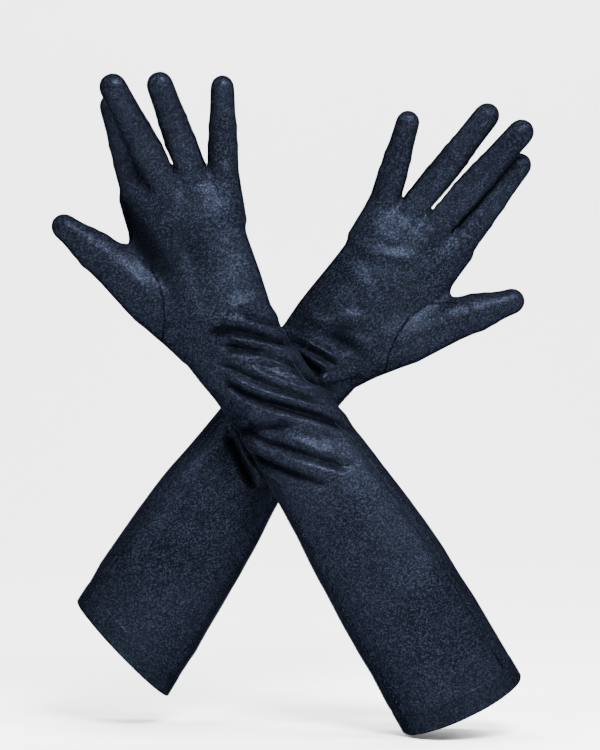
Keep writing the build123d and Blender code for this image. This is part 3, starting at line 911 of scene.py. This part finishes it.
def pattern_pieces(glove):
    """The glove's skin cut along its seams: {piece name: (vertex data, triangles)}."""
    points, triangles = skin(glove)
    points = relax(points, triangles, 2)
    data = vertex_data(glove, points, triangles)
    data, triangles, _ = two_sides(data, triangles, HEM)
    data, fingers, rest = two_sides(data, triangles, FINGER)
    data, thumb, rest = two_sides(data, rest, THUMB)
    data, gusset, rest = two_sides(data, rest, GUSSET)
    pieces = {"thumb_gusset": (data, gusset)}
    data, palm, back = two_sides(data, rest, PALM)
    pieces["palm_panel"] = (data, palm)
    pieces["back_panel"] = (data, back)
    data, back, front = two_sides(data, thumb, BACK)
    pieces["thumb_front"] = (data, front)
    pieces["thumb_back"] = (data, back)
    for f, column in zip(FINGERS, (*BETWEEN, None)):
        own = fingers
        if column is not None:
            data, fingers, own = two_sides(data, fingers, column)
        if f != "index":
            data, strip, own = two_sides(data, own, STRIP_A)
            pieces[f"{f}_thumb_side_fourchette"] = (data, strip)
        if f != "little":
            data, strip, own = two_sides(data, own, STRIP_B)
            pieces[f"{f}_little_side_fourchette"] = (data, strip)
        data, back, front = two_sides(data, own, BACK)
        pieces[f"{f}_front"] = (data, front)
        pieces[f"{f}_back"] = (data, back)
    return pieces


def without_specks(triangles, least=60):
    """Drops loose bits of fewer than `least` triangles that the cuts left."""
    used, index = np.unique(triangles, return_inverse=True)
    index = index.reshape(-1, 3)
    label = np.arange(len(used))
    for _ in range(400):
        low = label[index].min(1)
        new = label.copy()
        for k in range(3):
            np.minimum.at(new, index[:, k], low)
        new = new[new]
        if (new == label).all():
            break
        label = new
    parts = label[index[:, 0]]
    _, inverse, count = np.unique(parts, return_inverse=True, return_counts=True)
    return triangles[count[inverse] >= least]


# ---- meshes

LEAST_FLAT_LENGTH, LEAST_FLAT_WIDTH = 0.012, 0.0102
LEAST_FLAT_SHARE = 0.31   # a cut piece fills at least this share of the rectangle around it
FLAT_WASTE = 1.15         # area of that rectangle over the area of the piece
HEM_COLUMNS = 260
HEM_OUT, HEM_IN = 0.0003, 0.0014    # how far the hem's layers lie outside and inside the sleeve's tube
HEM_RIPPLE, HEM_RIPPLES = 0.00012, 9    # height and number of the waves of its edge
HEM_ROUNDS = 6            # steps to find the places on the tube at a height above the slanting opening
STITCH_LENGTH = 0.0026
THREAD_STEP = 0.0007
THREAD_SIDES = 8
THREAD_WIDTH, THREAD_HEIGHT = 0.00062, 0.00034     # half sizes of a stitch
THREAD_TAPER = 4          # rows over which a thread's end comes to a point


def mesh_object(name, points, faces, normals=None, fields=None):
    """A smooth-shaded mesh; fields are values at its points that the materials read."""
    mesh = bpy.data.meshes.new(name)
    mesh.from_pydata(points.tolist(), [], np.asarray(faces).tolist())
    mesh.polygons.foreach_set("use_smooth", [True] * len(mesh.polygons))
    for field, values in (fields or {}).items():
        attribute = mesh.attributes.new(field, "FLOAT", "POINT")
        attribute.data.foreach_set("value", values.astype(np.float32))
    mesh.update()
    if normals is not None:
        mesh.normals_split_custom_set_from_vertices(normals.tolist())
    obj = bpy.data.objects.new(name, mesh)
    bpy.context.scene.collection.objects.link(obj)
    return obj


def piece_object(glove, part, data, triangles):
    triangles = without_specks(triangles)
    used, index = np.unique(triangles, return_inverse=True)
    rows = data[used]
    normals = rows[:, NORMAL] / np.linalg.norm(rows[:, NORMAL], axis=1)[:, None]
    faces = index.reshape(-1, 3)
    if np.linalg.det(glove.axes) < 0:
        faces = faces[:, ::-1]
    points = glove.world(rows[:, POINT])
    # the materials darken the seams from the first field and paint shade into the folds from the second
    fields = {"seam_distance": rows[:, SEAM], "fold_painted_shade": rows[:, DEPTH]}
    return mesh_object(f"{glove.name}_{part}_cloth", points, faces, normals @ glove.axes, fields)


def flat_area_and_length(obj):
    """Area of a piece before it was stretched, and its length as worn along its own long direction."""
    points = mesh_points(obj.data)
    areas = np.empty(len(obj.data.polygons))
    obj.data.polygons.foreach_get("area", areas)
    off = points - points.mean(0)
    way = np.linalg.eigh(off.T @ off)[1][:, 2]
    return areas.sum() / STRETCH, np.ptp(off @ way)


def declare_band(obj):
    """Works out the flat area of a folded band that closes on itself; nothing is done with it."""
    area, _ = flat_area_and_length(obj)


def declare_sheet(obj):
    """Works out a flat cut: a rectangle around it that leaves some waste, and its own area; nothing is done with
    them.
    """
    area, worn_length = flat_area_and_length(obj)
    length = max(LEAST_FLAT_LENGTH, worn_length / STRETCH**0.5)
    width = max(LEAST_FLAT_WIDTH, area / length * FLAT_WASTE)
    area = max(area, LEAST_FLAT_SHARE * width * length)


def grid_faces(rows, columns):
    """Faces of a grid of points that closes on itself across its columns."""
    faces = []
    for r in range(rows - 1):
        for c in range(columns):
            d = (c + 1) % columns
            faces.append((r * columns + c, r * columns + d, (r + 1) * columns + d, (r + 1) * columns + c))
    return faces


def hem_object(glove):
    """The folded band at the opening: an outer layer, a rounded fold, and an inner layer."""
    angle = np.arange(HEM_COLUMNS) * 360 / HEM_COLUMNS
    # height above the opening and distance outside the sleeve's tube, from the outer edge to the inner one
    profile = [(HEM_HEIGHT + 0.0003, -0.0003), (HEM_HEIGHT, 0.0001), (HEM_HEIGHT - 0.0008, 0.00025)]
    profile += [(HEM_HEIGHT * k / 7, HEM_OUT) for k in range(6, 0, -1)]
    profile += [(0.0007, HEM_OUT), (0.0002, 0.0), (0.0, -0.0003), (0.0003, -0.0010), (0.0009, -0.0013)]
    profile += [(HEM_HEIGHT * k / 6, -HEM_IN) for k in range(1, 6)]
    profile += [(HEM_HEIGHT - 0.0012, -0.0009)]
    rows = []
    for height, lift in profile:
        place = np.full(HEM_COLUMNS, -glove.arm.middle[0][2] + height)
        for _ in range(HEM_ROUNDS):
            spot, _ = glove.arm.at(place, angle)
            place = place - (glove.above_hem(spot) - height)
        spot, out = glove.arm.at(place, angle, lift)
        ripple = HEM_RIPPLE * np.sin(np.radians(angle * HEM_RIPPLES)) * (1 - height / HEM_HEIGHT)
        rows.append(spot + out * (tube_relief(glove, spot, angle) + ripple)[:, None])
    points = glove.world(np.concatenate(rows))
    return mesh_object(f"{glove.name}_cuff_hem_band", points, grid_faces(len(rows), HEM_COLUMNS))


def thread_object(glove, part, angle_at):
    """A sewn seam that stands a little above the cloth, with one small swelling for each stitch."""
    start = np.interp(HEM_HEIGHT + 0.004, glove.arm.middle[:, 2], glove.arm.along)
    stop = glove.wrist_place - 0.012
    count = int((stop - start) / THREAD_STEP)
    place = np.linspace(start, stop, count)
    angle = angle_at(place)
    spot, out = glove.arm.at(place, angle)
    spot = spot + out * (tube_relief(glove, spot, angle) - 0.00005)[:, None]
    way = np.gradient(spot, axis=0)
    way /= np.linalg.norm(way, axis=1)[:, None]
    across = np.cross(way, out)
    stitch = 0.5 + 0.5 * np.cos(2 * np.pi * (place - start) / STITCH_LENGTH)
    turn = np.arange(THREAD_SIDES) * 2 * np.pi / THREAD_SIDES
    rows = []
    for k in range(count):
        end = min(1.0, (k + 0.2) / THREAD_TAPER, (count - k - 0.8) / THREAD_TAPER)
        wide = THREAD_WIDTH * (0.7 + 0.3 * stitch[k]) * end
        tall = THREAD_HEIGHT * (0.6 + 0.4 * stitch[k]) * end
        ring = spot[k] + np.outer(np.cos(turn) * wide, across[k])
        rows.append(ring + np.outer(np.sin(turn) * tall, out[k]))
    points = glove.world(np.concatenate(rows))
    return mesh_object(f"{glove.name}_{part}_stitches", points, grid_faces(count, THREAD_SIDES))


# ---- materials


class Nodes:
    """A short way to write shader nodes."""

    def __init__(self, name):
        self.material = bpy.data.materials.new(name)
        self.material.use_nodes = True
        self.tree = self.material.node_tree
        self.shader = self.tree.nodes["Principled BSDF"]

    def node(self, kind, **settings):
        node = self.tree.nodes.new(kind)
        for key, value in settings.items():
            setattr(node, key, value)
        return node

    def link(self, source, target):
        self.tree.links.new(source, target)

    def math(self, operation, first, second, clamp=False):
        node = self.node("ShaderNodeMath", operation=operation, use_clamp=clamp)
        for socket, value in zip(node.inputs, (first, second)):
            if isinstance(value, (int, float)):
                socket.default_value = value
            else:
                self.link(value, socket)
        return node.outputs[0]

    def noise(self, scale, detail=2.0, stretch=None):
        where = self.node("ShaderNodeTexCoord").outputs["Object"]
        if stretch:
            mapping = self.node("ShaderNodeMapping")
            mapping.inputs["Scale"].default_value = stretch
            self.link(where, mapping.inputs["Vector"])
            where = mapping.outputs[0]
        noise = self.node("ShaderNodeTexNoise")
        noise.inputs["Scale"].default_value = scale
        noise.inputs["Detail"].default_value = detail
        self.link(where, noise.inputs["Vector"])
        return noise.outputs["Fac"]

    def field(self, name):
        """A value that the mesh carries at its points."""
        return self.node("ShaderNodeAttribute", attribute_name=name).outputs["Fac"]

    def grains(self, scale):
        """A random value for each small patch of cloth."""
        cells = self.node("ShaderNodeTexVoronoi")
        cells.inputs["Scale"].default_value = scale
        self.link(self.node("ShaderNodeTexCoord").outputs["Object"], cells.inputs["Vector"])
        parts = self.node("ShaderNodeSeparateColor")
        self.link(cells.outputs["Color"], parts.inputs["Color"])
        return parts.outputs["Red"]

    def spread(self, value, low, high):
        """Stretches the range low to high over 0 to 1."""
        node = self.node("ShaderNodeMapRange")
        node.inputs["From Min"].default_value = low
        node.inputs["From Max"].default_value = high
        self.link(value, node.inputs["Value"])
        return node.outputs[0]

    def mix(self, amount, dark, light):
        node = self.node("ShaderNodeMix", data_type="RGBA")
        self.link(amount, node.inputs["Factor"])
        for socket, value in ((node.inputs["A"], dark), (node.inputs["B"], light)):
            if isinstance(value, tuple):
                socket.default_value = (*value, 1)
            else:
                self.link(value, socket)
        return node.outputs["Result"]


GRAIN_SCALE = 1500        # patches of cloth a metre: the grain of the bumps, and of the painted glints
STREAK_SCALE = 420        # and streaks along the arm
GLINT_PAINT_LIGHT = 5.0       # painted glints: the brightest grains are this much lighter than the light tone, standing in for the satin's sparkle
FOLD_PAINTED_SHADE = 0.85         # how much of the painted shade a deep fold gets
FOLD_PAINTED_SHADE_TONE = 0.3           # the painted shade's tone as a share of the dark one
SEAM_TONE = 0.25          # tone of a sunken seam as a share of the dark one
SEAM_WIDTH = 0.0011       # half width of its groove
GRAIN_RELIEF, SEAM_RELIEF = 0.16, 1.4


def toned(colour, share):
    return tuple(share * c for c in colour)


def satin(name, dark, light, roughness, painted_glint_share, groove=True):
    """Black stretch satin: cloudy tones, a fine grain with painted glints in place of its sparkle, painted shade
    in the folds, and sunken seams.
    """
    m = Nodes(name)
    shader = m.shader
    shader.inputs["Metallic"].default_value = 0.48
    shader.inputs["Specular IOR Level"].default_value = 0.0
    shader.inputs["Specular Tint"].default_value = (0.10, 0.12, 0.16, 1)
    cloudy = m.spread(m.noise(18, 3), 0.34, 0.66)
    grain = m.grains(GRAIN_SCALE)
    # painted glints: a few grains get a far lighter colour in place of the satin's sparkle
    painted_glints = m.math("MULTIPLY", m.math("POWER", grain, 3.0), painted_glint_share)
    colour = m.mix(painted_glints, m.mix(cloudy, dark, light), toned(light, GLINT_PAINT_LIGHT))
    # painted shade: the colour is darkened where the cloth lies deep in a fold, standing in for the shadow there
    painted_fold_shade = m.math("MULTIPLY", m.field("fold_painted_shade"), FOLD_PAINTED_SHADE)
    colour = m.mix(painted_fold_shade, colour, toned(dark, FOLD_PAINTED_SHADE_TONE))
    streaks = m.noise(STREAK_SCALE, 2, stretch=(1.0, 1.0, 0.22))
    rough = m.math("ADD", m.math("MULTIPLY", streaks, 0.14), roughness - 0.07)
    rough = m.math("ADD", rough, m.math("MULTIPLY", cloudy, -0.05))
    height = m.math("ADD", m.math("MULTIPLY", streaks, 0.3), m.math("MULTIPLY", grain, 0.9))
    height = m.math("MULTIPLY", height, GRAIN_RELIEF)
    if groove:
        open_cloth = m.math("DIVIDE", m.field("seam_distance"), SEAM_WIDTH)
        open_cloth = m.math("SMOOTH_MIN", open_cloth, 1.0, clamp=True)
        colour = m.mix(open_cloth, toned(dark, SEAM_TONE), colour)
        height = m.math("ADD", height, m.math("MULTIPLY", open_cloth, SEAM_RELIEF))
    relief_node = m.node("ShaderNodeBump")
    relief_node.inputs["Strength"].default_value = 0.55
    relief_node.inputs["Distance"].default_value = 0.0004
    m.link(height, relief_node.inputs["Height"])
    m.link(relief_node.outputs["Normal"], shader.inputs["Normal"])
    m.link(colour, shader.inputs["Base Color"])
    m.link(rough, shader.inputs["Roughness"])
    return m.material


def plain(name, colour, roughness):
    """A dull paint with hardly any variation, for the studio."""
    m = Nodes(name)
    tone = m.spread(m.noise(3, 2), 0.2, 0.8)
    m.link(m.mix(tone, toned(colour, 0.98), colour), m.shader.inputs["Base Color"])
    m.shader.inputs["Roughness"].default_value = roughness
    m.shader.inputs["Specular IOR Level"].default_value = 0.1
    return m.material


STRIP_DARK, STRIP_LIGHT = (0.0014, 0.0018, 0.0031), (0.0027, 0.0034, 0.0055)
THREAD_DARK, THREAD_LIGHT = (0.002, 0.003, 0.005), (0.004, 0.006, 0.009)
MATERIALS = {
    "satin": satin("black_satin", (0.0017, 0.0021, 0.0036), (0.0032, 0.0039, 0.0064), 0.44, 0.68),
    "fourchette": satin("strip_satin", STRIP_DARK, STRIP_LIGHT, 0.46, 0.62),
    "hem": satin("hem_satin", STRIP_DARK, STRIP_LIGHT, 0.46, 0.62, groove=False),
    "seam_thread": satin("seam_thread", THREAD_DARK, THREAD_LIGHT, 0.56, 0.3, groove=False),
}


# ---- putting a glove together

WRIST_BEND = 0.016        # a span this far below and above the wrist joint is worked out for the panels, but nothing uses it
THUMB_BEND = 0.017        # and for the thumb's pieces up to here above its joint
FINGER_BEND = 0.026       # and for a finger's up to here above its joint


def finish_piece(obj, slot, nodes):
    obj.data.materials.append(MATERIALS[slot])
    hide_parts(*nodes)


def fasten(glove, part, obj):
    """Puts the thumb gusset on the hand's body; every other piece of the skin has its transform baked into its
    mesh.
    """
    hand = glove.node("hand")
    if part in ("palm_panel", "back_panel"):
        reach = np.array([0, 0, WRIST_BEND])
        low, high = glove.wrist - reach, glove.wrist + reach
        glove.node("sleeve")
        glove.world(low)
        glove.world(high)
        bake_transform(obj)
    elif part == "thumb_gusset":
        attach(obj, hand)
    elif part.startswith("thumb"):
        low = glove.thumb_joint + glove.thumb_out * (THUMB_CUT + 0.001)
        high = glove.thumb_joint + glove.thumb_out * THUMB_BEND
        glove.node("thumb")
        glove.world(low)
        glove.world(high)
        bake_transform(obj)
    else:
        finger = part.split("_")[0]
        low = glove.knuckles[finger] + glove.hand_out * (FINGER_CUT + 0.0003)
        high = glove.knuckles[finger] + glove.hand_out * FINGER_BEND
        glove.node(finger)
        glove.world(low)
        glove.world(high)
        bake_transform(obj)


def dress(glove):
    for part, (data, triangles) in pattern_pieces(glove).items():
        obj = piece_object(glove, part, data, triangles)
        slot = "fourchette" if part.endswith("fourchette") else "satin"
        parts = (f"sleeve_{part}", f"hand_{part}") if part in ("palm_panel", "back_panel") else (part,)
        finish_piece(obj, slot, [glove.node(p) for p in parts])
        fasten(glove, part, obj)
        declare_sheet(obj)
    hem = hem_object(glove)
    finish_piece(hem, "hem", [glove.node("cuff_hem")])
    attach(hem, glove.node("sleeve"))
    declare_band(hem)
    for part, angle_at in (("outer_seam_thread", glove.seam_angle), ("inner_seam_thread", np.zeros_like)):
        thread = thread_object(glove, part, angle_at)
        finish_piece(thread, "seam_thread", [glove.node(part)])
        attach(thread, glove.node("sleeve"))


for glove_name in ("left", "right"):
    dress(Glove(glove_name))


# ---- stage, light and camera

FLOOR_DROP = 0.001        # the floor lies this far below the CAD model
VIEW_MIDDLE = np.array([-0.0973, 0.0, 0.2052])    # what the camera looks at, in the plane of the front glove
VIEW_HEIGHT = 0.465       # how much it sees there from top to bottom
VIEW_DISTANCE = 1.6
SWEEP_RADIUS = 0.5        # of the curve between the floor and the backdrop


def sweep(depth_front, depth_back, half_width, rise):
    """A floor that curves up into a backdrop."""
    line = [(-depth_front, 0.0), (0.0, 0.0)]
    for turn in np.linspace(0, np.pi / 2, 17):
        away = depth_back - SWEEP_RADIUS + SWEEP_RADIUS * np.sin(turn)
        line.append((away, SWEEP_RADIUS - SWEEP_RADIUS * np.cos(turn)))
    line.append((depth_back, rise))
    points = [(side, y, z) for y, z in line for side in (-half_width, half_width)]
    faces = [(2 * k, 2 * k + 1, 2 * k + 3, 2 * k + 2) for k in range(len(line) - 1)]
    obj = mesh_object("studio_floor", np.array(points), faces)
    obj.location = (VIEW_MIDDLE[0], 0, cad_box[0][2] - FLOOR_DROP)
    obj.data.materials.append(plain("studio_white", (0.93, 0.93, 0.93), 0.9))


sweep(6.0, 2.2, 6.0, 5.0)


def area_light(name, place, size, power, colour=(1, 1, 1), aim_at=VIEW_MIDDLE):
    data = bpy.data.lights.new(name, "AREA")
    data.shape = "RECTANGLE"
    data.size, data.size_y = size
    data.energy = power
    data.color = colour
    obj = bpy.data.objects.new(name, data)
    obj.location = place
    aim = np.array(place) - np.array(aim_at)
    obj.rotation_euler = Vector(aim).to_track_quat("Z", "Y").to_euler()
    bpy.context.scene.collection.objects.link(obj)


area_light("key", (0.12, -0.72, 0.80), (0.35, 0.35), 52, (1.0, 0.99, 0.97), aim_at=(-0.05, 0.0, 0.15))
area_light("left_strip", (-1.25, -0.6, 1.25), (0.3, 0.7), 34, (0.96, 0.98, 1.0))
area_light("right_strip", (1.05, -0.6, 1.25), (0.3, 0.7), 40, (0.96, 0.98, 1.0))
area_light("fill", (-0.9, -1.7, 0.4), (0.6, 0.8), 4, (0.93, 0.96, 1.0))
area_light("backdrop_wash", (0.0, 0.7, 2.6), (3.0, 0.5), 250, aim_at=(0.0, 2.1, 0.6))

world = bpy.data.worlds.new("studio_air")
world.use_nodes = True
sky = world.node_tree.nodes["Background"]
sky.inputs["Color"].default_value = (1.0, 1.0, 1.0, 1)
sky.inputs["Strength"].default_value = 0.12
bpy.context.scene.world = world

camera_data = bpy.data.cameras.new("camera")
camera_data.sensor_fit = "VERTICAL"
camera_data.sensor_height = 24.0
camera_data.lens = camera_data.sensor_height * VIEW_DISTANCE / VIEW_HEIGHT
camera = bpy.data.objects.new("camera", camera_data)
camera.location = VIEW_MIDDLE + np.array([0, -VIEW_DISTANCE, 0])
camera.rotation_euler = (np.pi / 2, 0, 0)
bpy.context.scene.collection.objects.link(camera)
bpy.context.scene.camera = camera
